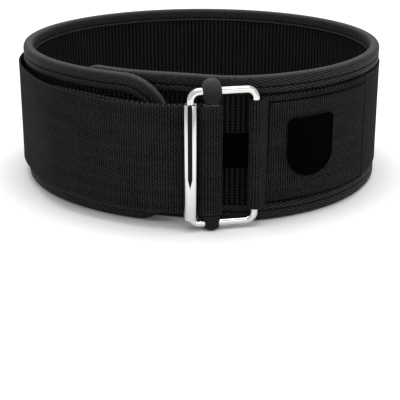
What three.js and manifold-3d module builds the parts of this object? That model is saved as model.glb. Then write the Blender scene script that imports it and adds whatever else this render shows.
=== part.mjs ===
// Weightlifting belt: a padded band rolled into a loop, its edges bound with tape,
// with a webbing strap that runs round it and through a wire buckle at the front.
// Millimetres and degrees, +Z up, the front of the belt faces -Y.
import * as THREE from 'three';
import { ParametricGeometry } from 'three/addons/geometries/ParametricGeometry.js';
import { mergeVertices } from 'three/addons/utils/BufferGeometryUtils.js';
import Module from 'manifold-3d';

const wasm = await Module();
wasm.setup();

// Loop and padded panel
const clearance = 0.3;
const beltHeight = 101.6;
const loopHalfWidth = 131.5;
const loopHalfDepth = 127;
const panelThickness = 6.4;
const layerGap = 0.9;
const outerEndAngle = -99.1;
const wrapTurn = 396.5;
const outerTopRadius = 34;
const outerFootRadius = 24;
const innerEndRadius = 20;

// Edge binding
const bindingPly = 0.9;
const bindingDepth = 12;
const bindingRound = 1.3;

// Webbing strap and the loop that holds the buckle
const strapMargin = 1.3;
const strapThickness = 1.6;
const strapBow = 9.4;
const strapDrop = 2;
const dropRun = 60;
const tailGap = 0.4;
const tailLength = 82;
const sewingMargin = 2;
const endsApart = 1;
const seamAngle = -68;
const loopPanelEndAngle = -31.9;
const loopPinch = 9;
const pinchStep = 1.2;
const loopRise = 4.6;

// Buckle
const hingeAngle = -75.4;
const frameTurn = 12;
const frameWidth = 43.5;
const frameRoom = 7.8;
const frameBend = 6;
const frameDrop = 0.5;
const wireDiameter = 5.2;
const rollerPlay = 1.3;
const rollerWall = 0.8;
const rollerTopPlay = 2.11;
const rollerEdge = 0.27;
const rollerGap = 1.8;
const bendClearance = 0.75;
const strapMeetsRoller = -120;
const tailMeetsRoller = -48;
const tailLeavesRoller = -115;
const barWidth = 11.2;
const barThickness = 4.4;
const capWidth = 14.2;
const capDepth = 11.4;
const topCapReach = 8.7;
const footCapWidth = 12.4;
const footCapReach = 4.6;

// Patch, badge and label
const patchAngle = 86;
const patchWidth = 110;
const patchHeight = 73;
const patchThickness = 1.5;
const patchRadius = 3;
const badgeAngle = -57.6;
const badgeWidth = 36;
const badgeHeight = 42;
const badgeThickness = 1.5;
const badgeTopRadius = 4;
const badgeFootRadius = 17;
const labelAngle = -79;
const labelWidth = 24;
const labelHeight = 24;
const labelThickness = 0.8;
const labelRadius = 1;

// Facets
const gridStep = 5;
const fineStep = 2.5;
const lastStep = 1;
const fineFrom = 332.5;
const fineTo = 367.5;
const cornerStep = 10;
const wrapStep = 22.5;
const wireBendStep = 15;
const wireSides = 12;
const boreSides = 16;
const barSides = 8;
const rollerSides = 24;
const capSides = 20;
const sharedWithin = 0.001;

// What follows from the sizes above
const strapWidth = beltHeight - 2 * (bindingDepth + strapMargin);
const panelFace = panelThickness / 2;
const bindingThickness = panelThickness + 2 * (clearance + bindingPly);
const layerPitch = bindingThickness + layerGap;
const strapRest = panelFace + clearance + strapThickness / 2;
const outerPlyRest = strapRest + strapThickness + clearance;
const frameCentre = beltHeight / 2 - frameDrop;
const frameHeight = strapWidth + 2 * frameRoom;
const frameTop = frameCentre + frameHeight / 2;
const frameFoot = frameCentre - frameHeight / 2;
const rollerDiameter = wireDiameter + 2 * (rollerPlay + rollerWall);
const barPlace = rollerDiameter / 2 + rollerGap + strapThickness + clearance + barWidth / 2;
const loopTubeRadius = wireDiameter / 2 + clearance + strapThickness / 2;
const hingeOut = panelFace + 2 * clearance + strapThickness + loopRise + wireDiameter / 2;

// How far the panel's wall stands out from the plain oval, as a share of one layer.
// The turn is counted from the outer end; past 360 the panel lies under that end.
const wallTable = [
  { turn: 0, out: 0.15 },
  { turn: 14, out: 0.12 },
  { turn: 32, out: 0 },
  { turn: 70, out: 0 },
  { turn: 180, out: 0 },
  { turn: 285, out: 0 },
  { turn: 318, out: 0.3 },
  { turn: 337, out: 0.3 },
  { turn: 343.5, out: 0.08 },
  { turn: 350, out: -0.36 },
  { turn: 356, out: -0.72 },
  { turn: 362, out: -0.9 },
  { turn: 376, out: -0.95 },
  { turn: 397, out: -1.05 },
];

// How far the free strap stands off the panel, as a share of strapBow.
// Along is the share of the free run, from the outer end to where the sewing starts.
const liftTable = [
  { along: 0, lift: 1.32 },
  { along: 0.02, lift: 1.3 },
  { along: 0.1, lift: 1.14 },
  { along: 0.14, lift: 1.07 },
  { along: 0.176, lift: 1.05 },
  { along: 0.209, lift: 1.05 },
  { along: 0.252, lift: 1.02 },
  { along: 0.303, lift: 0.74 },
  { along: 0.366, lift: 0.42 },
  { along: 0.43, lift: 0.34 },
  { along: 0.547, lift: 0.38 },
  { along: 0.74, lift: 0.28 },
  { along: 0.87, lift: 0.1 },
  { along: 1, lift: 0 },
];

// Outline of a cap from its foot to its top, as shares of its height and half width
const capTable = [
  { up: 0, out: 0.6 },
  { up: 0.07, out: 0.8 },
  { up: 0.2, out: 0.94 },
  { up: 0.42, out: 1 },
  { up: 0.62, out: 0.96 },
  { up: 0.78, out: 0.82 },
  { up: 0.9, out: 0.58 },
  { up: 0.97, out: 0.32 },
];

const radians = THREE.MathUtils.degToRad;
const degrees = THREE.MathUtils.radToDeg;

// A smooth value between the rows of a table
function smooth(rows, key, value) {
  const positions = rows.map((row) => row[key]);
  const values = rows.map((row) => row[value]);
  const curve = new THREE.CubicInterpolant(positions, values, 1);
  return (position) => curve.evaluate(position)[0];
}

const wallOut = smooth(wallTable, 'turn', 'out');
const strapLift = smooth(liftTable, 'along', 'lift');

// The oval of the loop, and a point on the middle of the panel's wall
function wallPoint(turn) {
  const angle = radians(outerEndAngle - turn);
  const across = Math.cos(angle) / loopHalfWidth;
  const along = Math.sin(angle) / loopHalfDepth;
  const radius = 1 / Math.hypot(across, along) + layerPitch * wallOut(turn);
  return new THREE.Vector2(radius * Math.cos(angle), radius * Math.sin(angle));
}

// A line of points in plan, with its lengths and the direction to its left
function makeRoute(points) {
  const lengths = [0];
  for (let i = 1; i < points.length; i += 1) {
    lengths.push(lengths[i - 1] + points[i].distanceTo(points[i - 1]));
  }
  const lefts = points.map((point, i) => {
    const before = points[Math.max(i - 1, 0)];
    const after = points[Math.min(i + 1, points.length - 1)];
    const along = after.clone().sub(before).normalize();
    return new THREE.Vector2(-along.y, along.x);
  });
  return { points, lengths, lefts, total: lengths[lengths.length - 1] };
}

// The plan point at a distance along a route and to its left
function onRoute(route, distance, left) {
  const last = route.points.length - 2;
  const next = route.lengths.findIndex((length) => length > distance);
  const i = next < 0 ? last : Math.min(Math.max(next - 1, 0), last);
  const share = (distance - route.lengths[i]) / (route.lengths[i + 1] - route.lengths[i]);
  const point = route.points[i].clone().lerp(route.points[i + 1], share);
  const side = route.lefts[i].clone().lerp(route.lefts[i + 1], share);
  return point.addScaledVector(side, left);
}

// The wall's middle line, with finer steps where it turns in under the outer end
const wallTurns = [];
for (let turn = 0; turn < wrapTurn - lastStep; ) {
  wallTurns.push(turn);
  turn += turn >= fineFrom && turn < fineTo ? fineStep : gridStep;
}
wallTurns.push(wrapTurn);
const wall = makeRoute(wallTurns.map(wallPoint));

// The distance along the wall at an angle seen from the loop's middle
function alongWall(angle) {
  const turn = THREE.MathUtils.euclideanModulo(outerEndAngle - angle, 360);
  const next = Math.max(wallTurns.findIndex((stop) => stop > turn), 1);
  const share = (turn - wallTurns[next - 1]) / (wallTurns[next] - wallTurns[next - 1]);
  return THREE.MathUtils.lerp(wall.lengths[next - 1], wall.lengths[next], share);
}

// The wall's own stations between two distances, with both ends
function stationsBetween(from, to, extra = []) {
  const inside = [...wall.lengths, ...extra].filter((length) => length > from && length < to);
  return [from, ...inside.sort((a, b) => a - b), to];
}

// One closed body whose corners share their vertices
function closed(geometry) {
  geometry.deleteAttribute('normal');
  geometry.deleteAttribute('uv');
  return mergeVertices(geometry, sharedWithin);
}

// A straight extrusion whose cross sections are set one by one along a path
function bend(section, steps, place) {
  const geometry = new THREE.ExtrudeGeometry(section, { depth: steps, steps, bevelEnabled: false });
  const position = geometry.attributes.position;
  for (let i = 0; i < position.count; i += 1) {
    const spot = place(position.getX(i), position.getY(i), Math.round(position.getZ(i)));
    position.setXYZ(i, spot.x, spot.y, spot.z);
  }
  return closed(geometry);
}

function polygon(corners) {
  return new THREE.Shape(corners.map(([x, y]) => new THREE.Vector2(x, y)));
}

function rectangle(left, bottom, right, top) {
  return polygon([[left, bottom], [right, bottom], [right, top], [left, top]]);
}

// The rise of a rounded corner at a distance from the end of a panel
function cornerRise(distance, radius) {
  return distance < radius ? radius - Math.sqrt(radius ** 2 - (radius - distance) ** 2) : 0;
}

// A flat panel with rounded corners, laid along the wall at a distance from its middle
function panelOnWall({ from, to, out, thickness, low, high, radii }) {
  const largest = Math.max(...Object.values(radii));
  const corners = [];
  for (let angle = cornerStep; angle <= 90; angle += cornerStep) {
    const depth = largest * (1 - Math.cos(radians(angle)));
    corners.push(from + depth, to - depth);
  }
  const stops = stationsBetween(from, to, corners);
  const section = rectangle(out - thickness / 2, 0, out + thickness / 2, 1);
  return bend(section, stops.length - 1, (left, share, i) => {
    const start = stops[i] - from;
    const end = to - stops[i];
    const foot = low + cornerRise(start, radii.startFoot) + cornerRise(end, radii.endFoot);
    const top = high - cornerRise(start, radii.startTop) - cornerRise(end, radii.endTop);
    const plan = onRoute(wall, stops[i], left);
    return new THREE.Vector3(plan.x, plan.y, THREE.MathUtils.lerp(foot, top, share));
  });
}

// Padded panel
function makeBody() {
  const inset = bindingPly + clearance;
  return panelOnWall({
    from: inset,
    to: wall.total - inset,
    out: 0,
    thickness: panelThickness,
    low: inset,
    high: beltHeight - inset,
    radii: {
      startTop: outerTopRadius - inset,
      startFoot: outerFootRadius - inset,
      endTop: innerEndRadius - inset,
      endFoot: innerEndRadius - inset,
    },
  });
}

// A quarter turn of the panel's edge, from the centre of its corner in the flat panel
function cornerStops(along, radius, fromAngle) {
  const stops = [];
  for (let angle = cornerStep; angle < 90; angle += cornerStep) {
    const cos = Math.cos(radians(fromAngle - angle));
    const sin = Math.sin(radians(fromAngle - angle));
    stops.push({ along: along + radius * cos, up: radius * sin, inAlong: -cos, inUp: sin });
  }
  return stops;
}

// Half of the edge binding: a folded tape from the middle of one end to the middle of the other
function makeBinding(top) {
  const startRadius = top ? outerTopRadius : outerFootRadius;
  const sign = top ? 1 : -1;
  const edge = top ? beltHeight : 0;
  const middle = beltHeight / 2 + (sign * clearance) / 2;
  const start = { along: 0, inAlong: 1, inHeight: 0 };
  const end = { along: wall.total, inAlong: -1, inHeight: 0 };
  const cornerHeight = (radius) => edge - sign * radius;
  const corner = (along, radius, fromAngle) => cornerStops(along, radius, fromAngle).map((stop) => ({
    along: stop.along,
    height: cornerHeight(radius) + sign * stop.up,
    inAlong: stop.inAlong,
    inHeight: -sign * stop.inUp,
  }));
  const straight = stationsBetween(startRadius, wall.total - innerEndRadius);
  const path = [
    { ...start, height: middle },
    { ...start, height: cornerHeight(startRadius) },
    ...corner(startRadius, startRadius, 180),
    ...straight.map((along) => ({ along, height: edge, inAlong: 0, inHeight: -sign })),
    ...corner(wall.total - innerEndRadius, innerEndRadius, 90),
    { ...end, height: cornerHeight(innerEndRadius) },
    { ...end, height: middle },
  ];
  if (!top) {
    path.reverse();
  }
  const half = bindingThickness / 2;
  const slot = half - bindingPly;
  const section = polygon([
    [bindingDepth, -half],
    [bindingDepth, -slot],
    [bindingPly, -slot],
    [bindingPly, slot],
    [bindingDepth, slot],
    [bindingDepth, half],
    [bindingRound, half],
    [0, half - bindingRound],
    [0, bindingRound - half],
    [bindingRound, -half],
  ]);
  return bend(section, path.length - 1, (depth, left, i) => {
    const stop = path[i];
    const plan = onRoute(wall, stop.along + depth * stop.inAlong, left);
    return new THREE.Vector3(plan.x, plan.y, stop.height + depth * stop.inHeight);
  });
}

// A band of webbing on edge along a route, lowered by drop(distance)
function band(route, drop = () => 0) {
  const low = (beltHeight - strapWidth) / 2;
  const section = rectangle(-strapThickness / 2, low, strapThickness / 2, low + strapWidth);
  return bend(section, route.points.length - 1, (left, height, i) => {
    const plan = route.points[i].clone().addScaledVector(route.lefts[i], left);
    return new THREE.Vector3(plan.x, plan.y, height - drop(route.lengths[i]));
  });
}

// The buckle stands on its right bar, which the loop holds off the panel
const frameAlong = new THREE.Vector2(Math.cos(radians(frameTurn)), Math.sin(radians(frameTurn)));
const frameFront = new THREE.Vector2(frameAlong.y, -frameAlong.x);
const hinge = onRoute(wall, alongWall(hingeAngle), hingeOut);

// A plan point from its distance right of the buckle's left bar and its distance to the front
function inBuckle(right, front) {
  return hinge
    .clone()
    .addScaledVector(frameAlong, right - frameWidth)
    .addScaledVector(frameFront, front);
}

// Points of an arc in the buckle's plan
function buckleArc(right, radius, fromAngle, toAngle) {
  const count = Math.max(2, Math.ceil(Math.abs(toAngle - fromAngle) / wrapStep));
  return Array.from({ length: count + 1 }, (_, i) => {
    const angle = radians(THREE.MathUtils.lerp(fromAngle, toAngle, i / count));
    return inBuckle(right + radius * Math.cos(angle), radius * Math.sin(angle));
  });
}

// Where the sewing of the free strap starts, just past the back patch
const freeLength = alongWall(patchAngle) - patchWidth / 2 - sewingMargin;

function freeStrapPoint(distance, inward) {
  const out = strapRest + strapBow * strapLift(distance / freeLength) - inward;
  return onRoute(wall, distance, out);
}

// The strap's line: sewn round the right side and the back, free on the left,
// over the bar, round it and back behind itself
function makeStrapRoute() {
  const sewn = stationsBetween(freeLength, alongWall(seamAngle)).reverse();
  const free = stationsBetween(0, freeLength).reverse();
  const wrapRadius = barThickness / 2 + clearance + strapThickness / 2;
  const rollerWrap = rollerDiameter / 2 + clearance + strapThickness / 2;
  const turnOffset = barWidth / 2 - barThickness / 2;
  const leftTurn = barPlace - turnOffset;
  const rightTurn = barPlace + turnOffset;
  const cross = degrees(Math.acos((wrapRadius + rollerWrap) / leftTurn));
  const tailStep = strapThickness + tailGap;
  const tail = stationsBetween(0, tailLength);
  const tailWrap = rollerWrap + tailStep + tailGap;
  return [
    ...sewn.map((distance) => onRoute(wall, distance, strapRest)),
    ...free.slice(1).map((distance) => freeStrapPoint(distance, 0)),
    ...buckleArc(0, rollerWrap, strapMeetsRoller, -cross),
    ...buckleArc(leftTurn, wrapRadius, 180 - cross, 90),
    ...buckleArc(rightTurn, wrapRadius, 90, -90),
    ...buckleArc(0, tailWrap, tailMeetsRoller, tailLeavesRoller),
    ...tail.map((distance) => freeStrapPoint(distance, tailStep)),
  ];
}

const strapRoute = makeRoute(makeStrapRoute());

// The strap sinks a little towards the buckle, and rises again in its tail
function strapSag(distance) {
  const buckleFrom = alongWall(seamAngle);
  const buckleTo = strapRoute.total - tailLength;
  const away = Math.max(buckleFrom - distance, distance - buckleTo, 0);
  return strapDrop * (1 - THREE.MathUtils.smoothstep(away, 0, dropRun));
}

// The loop: an inner ply, a turn round the bar, and an outer ply that runs on over the strap
function makeLoopRoute() {
  const outerPinch = alongWall(hingeAngle) - loopPinch;
  const innerPinch = outerPinch + pinchStep;
  const innerEnd = alongWall(seamAngle) + endsApart;
  const outerEnd = alongWall(loopPanelEndAngle);
  const toBuckle = (point) => {
    const offset = point.clone().sub(hinge);
    return new THREE.Vector2(offset.dot(frameAlong), offset.dot(frameFront));
  };
  const tangent = (point, side) => {
    const spot = toBuckle(point);
    const reach = degrees(Math.acos(loopTubeRadius / spot.length()));
    return degrees(Math.atan2(spot.y, spot.x)) + side * reach;
  };
  const ply = (from, to, out) => stationsBetween(from, to).map((distance) => onRoute(wall, distance, out));
  const inner = ply(innerEnd, innerPinch, strapRest);
  const outer = ply(outerEnd, outerPinch, outerPlyRest);
  const back = tangent(inner[inner.length - 1], -1);
  const front = tangent(outer[outer.length - 1], 1);
  return [...inner, ...buckleArc(frameWidth, loopTubeRadius, back, front - 360), ...outer.reverse()];
}

const loopRoute = makeRoute(makeLoopRoute());

// The frame's rectangle of wire, as stops with the direction out of its corner
function frameStops() {
  const stops = [];
  const halfWidth = frameWidth / 2 - frameBend;
  const halfHeight = frameHeight / 2 - frameBend;
  const corners = [[1, 1], [-1, 1], [-1, -1], [1, -1]];
  corners.forEach(([right, up], corner) => {
    for (let angle = 0; angle <= 90; angle += wireBendStep) {
      const turn = radians(90 * corner + angle);
      stops.push({
        right: frameWidth / 2 + right * halfWidth + frameBend * Math.cos(turn),
        height: frameCentre + up * halfHeight + frameBend * Math.sin(turn),
        outRight: Math.cos(turn),
        outUp: Math.sin(turn),
      });
    }
  });
  return stops;
}

function makeFrame() {
  const stops = frameStops();
  const radius = wireDiameter / 2;
  const ring = (u, v, target) => {
    const stop = stops[Math.round(u * stops.length) % stops.length];
    const angle = 2 * Math.PI * v;
    const out = radius * Math.cos(angle);
    const plan = inBuckle(stop.right + out * stop.outRight, radius * Math.sin(angle));
    target.set(plan.x, plan.y, stop.height + out * stop.outUp);
  };
  return closed(new ParametricGeometry(ring, stops.length, wireSides));
}

// The roller: a tube on the left bar, sunk until its bore meets the bend at the bar's foot
const boreSlack = rollerPlay - bendClearance;
const rollerSink = Math.sqrt(frameBend ** 2 - (frameBend - boreSlack) ** 2);
const rollerLow = frameFoot + frameBend - rollerSink;
const rollerLength = frameTop - frameBend - rollerTopPlay - rollerLow;

function makeRoller() {
  const outer = rollerDiameter / 2;
  const inner = outer - rollerWall;
  const profile = [
    [inner, 0],
    [outer - rollerEdge, 0],
    [outer, rollerEdge],
    [outer, rollerLength - rollerEdge],
    [outer - rollerEdge, rollerLength],
    [inner, rollerLength],
    [inner, 0],
  ];
  const points = profile.map(([x, y]) => new THREE.Vector2(x, y));
  const geometry = new THREE.LatheGeometry(points, rollerSides);
  geometry.rotateX(Math.PI / 2);
  const place = inBuckle(0, 0);
  geometry.translate(place.x, place.y, rollerLow);
  return closed(geometry);
}

// The slide bar between its two caps
const barLow = (beltHeight - strapWidth) / 2 - strapDrop - clearance;
const barHigh = barLow + strapWidth + 2 * clearance;

function makeSlideBar() {
  const radius = barThickness / 2;
  const half = barWidth / 2 - radius;
  const outline = new THREE.Shape();
  outline.absarc(half, 0, radius, -Math.PI / 2, Math.PI / 2, false);
  outline.absarc(-half, 0, radius, Math.PI / 2, (3 * Math.PI) / 2, false);
  outline.closePath();
  const depth = barHigh - barLow;
  const settings = { depth, bevelEnabled: false, curveSegments: barSides };
  const geometry = new THREE.ExtrudeGeometry(outline, settings);
  const place = inBuckle(barPlace, 0);
  geometry.rotateZ(radians(frameTurn));
  geometry.translate(place.x, place.y, barLow);
  return closed(geometry);
}

// Joins and cuts
function toManifold(geometry) {
  const merged = closed(geometry.clone());
  const vertProperties = new Float32Array(merged.attributes.position.array);
  const triVerts = new Uint32Array(merged.index.array);
  return new wasm.Manifold(new wasm.Mesh({ numProp: 3, vertProperties, triVerts }));
}

function fromManifold(manifold) {
  const mesh = manifold.getMesh();
  const geometry = new THREE.BufferGeometry();
  geometry.setAttribute('position', new THREE.BufferAttribute(new Float32Array(mesh.vertProperties), 3));
  geometry.setIndex(new THREE.BufferAttribute(new Uint32Array(mesh.triVerts), 1));
  return geometry;
}

// A rubber cap on the frame's wire, bored through where the wire runs
function makeCap({ low, high, width, wireHeight, upsideDown }) {
  const height = high - low;
  const profile = capTable.map((row) => new THREE.Vector2((row.out * width) / 2, row.up * height));
  const points = [new THREE.Vector2(0, 0), ...profile, new THREE.Vector2(0, height)];
  const body = new THREE.LatheGeometry(points, capSides);
  body.rotateX(Math.PI / 2);
  body.scale(1, capDepth / capWidth, 1);
  if (upsideDown) {
    body.rotateX(Math.PI);
    body.translate(0, 0, height);
  }
  const boreRadius = wireDiameter / 2 + clearance;
  const bore = new THREE.CylinderGeometry(boreRadius, boreRadius, 2 * width, boreSides);
  bore.rotateZ(Math.PI / 2);
  bore.translate(0, 0, wireHeight - low);
  const cap = fromManifold(toManifold(body).subtract(toManifold(bore)));
  const place = inBuckle(barPlace, 0);
  cap.rotateZ(radians(frameTurn));
  cap.translate(place.x, place.y, low);
  return cap;
}

const makeTopCap = () => makeCap({
  low: barHigh + clearance,
  high: frameTop + topCapReach,
  width: capWidth,
  wireHeight: frameTop,
  upsideDown: false,
});

const makeFootCap = () => makeCap({
  low: frameFoot - footCapReach,
  high: barLow - clearance,
  width: footCapWidth,
  wireHeight: frameFoot,
  upsideDown: true,
});

// A patch centred at an angle and at a height, on a face at a distance from the wall's middle
function makePatch({ angle, width, height, centre, thickness, face, topRadius, footRadius }) {
  const middle = alongWall(angle);
  return panelOnWall({
    from: middle - width / 2,
    to: middle + width / 2,
    out: face + clearance + thickness / 2,
    thickness,
    low: centre - height / 2,
    high: centre + height / 2,
    radii: { startTop: topRadius, endTop: topRadius, startFoot: footRadius, endFoot: footRadius },
  });
}

const makeBackPatch = () => makePatch({
  angle: patchAngle,
  width: patchWidth,
  height: patchHeight,
  centre: beltHeight / 2,
  thickness: patchThickness,
  face: strapRest + strapThickness / 2,
  topRadius: patchRadius,
  footRadius: patchRadius,
});

const makeBadge = () => makePatch({
  angle: badgeAngle,
  width: badgeWidth,
  height: badgeHeight,
  centre: beltHeight / 2,
  thickness: badgeThickness,
  face: outerPlyRest + strapThickness / 2,
  topRadius: badgeTopRadius,
  footRadius: badgeFootRadius,
});

const makeLabel = () => makePatch({
  angle: labelAngle,
  width: labelWidth,
  height: labelHeight,
  centre: beltHeight / 2,
  thickness: labelThickness,
  face: panelFace,
  topRadius: labelRadius,
  footRadius: labelRadius,
});

// Finishes
const finishes = {
  ribbed: { color: 0x1c1c1d, roughness: 0.95, metalness: 0 },
  tape: { color: 0x232324, roughness: 0.85, metalness: 0 },
  webbing: { color: 0x202021, roughness: 0.8, metalness: 0 },
  chrome: { color: 0xd8dadc, roughness: 0.12, metalness: 1 },
  rubber: { color: 0x2a2f2d, roughness: 0.6, metalness: 0 },
  patch: { color: 0x0b0b0c, roughness: 0.7, metalness: 0 },
};

const belt = new THREE.Group();

function addPiece(name, geometry, finish) {
  const shown = geometry.toNonIndexed();
  shown.computeVertexNormals();
  const mesh = new THREE.Mesh(shown, new THREE.MeshStandardMaterial(finishes[finish]));
  mesh.name = name;
  belt.add(mesh);
}

addPiece('padded_body', makeBody(), 'ribbed');
addPiece('edge_binding_top', makeBinding(true), 'tape');
addPiece('edge_binding_bottom', makeBinding(false), 'tape');
addPiece('strap', band(strapRoute, strapSag), 'webbing');
addPiece('buckle_loop', band(loopRoute), 'webbing');
addPiece('buckle_frame', makeFrame(), 'chrome');
addPiece('roller', makeRoller(), 'chrome');
addPiece('slide_bar', makeSlideBar(), 'chrome');
addPiece('cap_top', makeTopCap(), 'rubber');
addPiece('cap_bottom', makeFootCap(), 'rubber');
addPiece('back_patch', makeBackPatch(), 'patch');
addPiece('front_badge', makeBadge(), 'patch');
addPiece('window_label', makeLabel(), 'patch');

// The origin is the middle of the belt's box, on the surface that it stands on
const box = new THREE.Box3().setFromObject(belt);
belt.position.set(-(box.min.x + box.max.x) / 2, -(box.min.y + box.max.y) / 2, -box.min.z);

export default belt;
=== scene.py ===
# %% [markdown]
# # A weightlifting belt
#
# A four inch nylon belt, rolled into a loop and closed with a wire buckle. Its sizes are those of
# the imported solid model. This file gives each piece its cloth, thread, chrome or rubber. All
# lengths are millimetres until a piece is finished; then its mesh is scaled to metres and moved
# into the model's place.

import math
from bisect import bisect_right
from functools import partial

import bmesh
import bpy
import numpy as np
from mathutils import Matrix, Vector


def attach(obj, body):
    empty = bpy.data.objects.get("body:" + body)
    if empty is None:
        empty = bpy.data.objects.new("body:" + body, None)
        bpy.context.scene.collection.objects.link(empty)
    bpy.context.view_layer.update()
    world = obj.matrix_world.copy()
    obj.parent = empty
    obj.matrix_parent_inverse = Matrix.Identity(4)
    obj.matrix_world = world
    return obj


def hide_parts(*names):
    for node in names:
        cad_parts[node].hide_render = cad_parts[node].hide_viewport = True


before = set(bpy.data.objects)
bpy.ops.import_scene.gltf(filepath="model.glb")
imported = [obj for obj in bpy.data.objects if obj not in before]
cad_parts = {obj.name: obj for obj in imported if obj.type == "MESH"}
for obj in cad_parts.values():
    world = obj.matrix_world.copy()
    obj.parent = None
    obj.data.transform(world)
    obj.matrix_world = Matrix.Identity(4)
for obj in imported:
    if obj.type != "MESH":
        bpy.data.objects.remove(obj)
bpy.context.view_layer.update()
scene = bpy.context.scene

# %% [markdown]
# ## Camera
#
# The belt is seen from a little above, from the front, with the buckle just right of the middle.
# A camera can be set by eye, but here its height, distance and lens were worked out from the
# belt's rim and foot, so that a known height of 101.6 mm fills the right number of pixels. It
# keeps no shift and no blur, so any other view is as true as this one.

# %% Camera
camera = bpy.data.objects.new("camera", bpy.data.cameras.new("camera"))
scene.collection.objects.link(camera)
camera.location = (0.00083, -0.80143, 0.26351)
camera.rotation_euler = (math.radians(70), 0, 0)
camera.data.sensor_width = 36
camera.data.lens = 95.57
scene.camera = camera
print("camera", tuple(camera.location), camera.data.lens)

# %% [markdown]
# ## Light
#
# A black object on white is lit by white walls, not by strong lamps: the walls are what the
# chrome mirrors, and what gives cloth its soft sheen. So the world is white, a wide panel
# overhead brightens the rolled edges, and two side panels round the shape off. The floor is a
# plain sheet.

# %% World, floor and soft panels
def set_input(node, **values):
    """Sets or links a node's sockets by name, with _ for each space."""
    for name, value in values.items():
        socket = node.inputs[name.replace("_", " ")]
        if isinstance(value, bpy.types.NodeSocket):
            node.id_data.links.new(value, socket)
        else:
            socket.default_value = value


world = bpy.data.worlds.new("white_studio")
world.use_nodes = True
set_input(world.node_tree.nodes["Background"], Color=(1, 1, 1, 1), Strength=0.75)
scene.world = world
scene.view_settings.view_transform = "Standard"

floor_material = bpy.data.materials.new("pale_floor")
floor_material.use_nodes = True
floor_shader = floor_material.node_tree.nodes["Principled BSDF"]
set_input(floor_shader, Base_Color=(0.93, 0.93, 0.93, 1), Roughness=0.9, Specular_IOR_Level=0)

sheet_mesh = bmesh.new()
bmesh.ops.create_grid(sheet_mesh, x_segments=1, y_segments=1, size=6)
floor_mesh = bpy.data.meshes.new("floor")
sheet_mesh.to_mesh(floor_mesh)
sheet_mesh.free()
floor = bpy.data.objects.new("floor", floor_mesh)
floor_mesh.materials.append(floor_material)
scene.collection.objects.link(floor)
belt_middle = Vector((0, 0, 0.05))


def soft_panel(name, place, size, power):
    """A square lamp that faces the belt."""
    lamp = bpy.data.objects.new(name, bpy.data.lights.new(name, "AREA"))
    lamp.data.size = size
    lamp.data.energy = power
    lamp.location = place
    lamp.rotation_euler = (belt_middle - Vector(place)).to_track_quat("-Z", "Y").to_euler()
    scene.collection.objects.link(lamp)


soft_panel("overhead", (0.0, 0.1, 1.5), size=1.3, power=20)
soft_panel("left_side", (-1.3, -0.7, 0.6), size=0.8, power=0.3)
soft_panel("right_side", (0.9, -1.2, 0.6), size=0.8, power=1.8)

# %% [markdown]
# ## The belt's own frame of measure
#
# The belt's loop is an oval, a little wider than deep, whose two ends overlap at the front. The
# wall could be drawn as a curve by eye. It is worked out instead from the oval and a short table
# of how far the wall leaves it, because the panel, its binding, the strap and the patches all
# have to lie on the same wall, each at its own distance.

# %% Sizes, in millimetres and degrees
MM = 0.001
model_place = Vector((2.1028, 9.1265, 0))
clearance = 0.3
belt_height = 101.6
loop_half_width = 131.5
loop_half_depth = 127
panel_thickness = 6.4
cord_pitch = 3.4
layer_gap = 0.9
outer_end_angle = -99.1
wrap_turn = 396.5
outer_top_radius = 34
outer_foot_radius = 24
inner_end_radius = 20
binding_ply = 0.9
binding_depth = 12
strap_width = 75
strap_thickness = 1.6
strap_low = (belt_height - strap_width) / 2
half_panel = panel_thickness / 2
half_binding = half_panel + clearance + binding_ply
layer_pitch = 2 * half_binding + layer_gap
strap_rest = half_panel + clearance + strap_thickness / 2
outer_ply_rest = strap_rest + strap_thickness + clearance

wall_table = [
    # turn from the outer end, how far the wall stands out in layers
    (0, 0.15), (14, 0.12), (32, 0), (70, 0), (180, 0), (285, 0), (318, 0.3), (337, 0.3),
    (343.5, 0.08), (350, -0.36), (356, -0.72), (362, -0.9), (376, -0.95), (397, -1.05),
]
lift_table = [
    # share of the free run, how far the free strap stands off in shares of its bow
    (0, 1.32), (0.02, 1.3), (0.1, 1.14), (0.14, 1.07), (0.176, 1.05), (0.209, 1.05), (0.252, 1.02),
    (0.303, 0.74), (0.366, 0.42), (0.43, 0.34), (0.547, 0.38), (0.74, 0.28), (0.87, 0.1), (1, 0),
]


def smooth(rows):
    """A smooth curve through the rows of a table."""
    at, value = zip(*rows)
    slopes = np.diff(value) / np.diff(at)
    tangents = [slopes[0], *(slopes[1:] + slopes[:-1]) / 2, slopes[-1]]

    def curve(x):
        i = min(max(bisect_right(at, x) - 1, 0), len(slopes) - 1)
        step = at[i + 1] - at[i]
        t = (x - at[i]) / step
        rise = value[i + 1] - value[i]
        first, last = tangents[i] * step, tangents[i + 1] * step
        bend = 3 * rise - 2 * first - last
        return value[i] + t * first + t * t * bend + t**3 * (first + last - 2 * rise)

    return curve


def make_line(points):
    """A line in plan: its points, lengths and the directions to its left."""
    points = np.array(points)
    lengths = np.concatenate([[0], np.cumsum(np.hypot(*np.diff(points, axis=0).T))])
    ahead = np.gradient(points, axis=0)
    ahead /= np.hypot(*ahead.T)[:, None]
    return points, lengths, np.column_stack([-ahead[:, 1], ahead[:, 0]])


def on_line(line, along, out):
    """Plan places at a distance along a line and out to its left."""
    points, lengths, lefts = line
    x, y, left_x, left_y = (
        np.interp(along, lengths, column) for column in (*points.T, *lefts.T)
    )
    return np.column_stack([x + out * left_x, y + out * left_y])


turns = np.append(np.arange(0, wrap_turn, 0.5), wrap_turn)
angles = np.radians(outer_end_angle - turns)
wall_out = smooth(wall_table)
radii = 1 / np.hypot(np.cos(angles) / loop_half_width, np.sin(angles) / loop_half_depth)
radii += layer_pitch * np.array([wall_out(turn) for turn in turns])
wall = make_line(np.column_stack([radii * np.cos(angles), radii * np.sin(angles)]))
wall_length = wall[1][-1]


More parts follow.
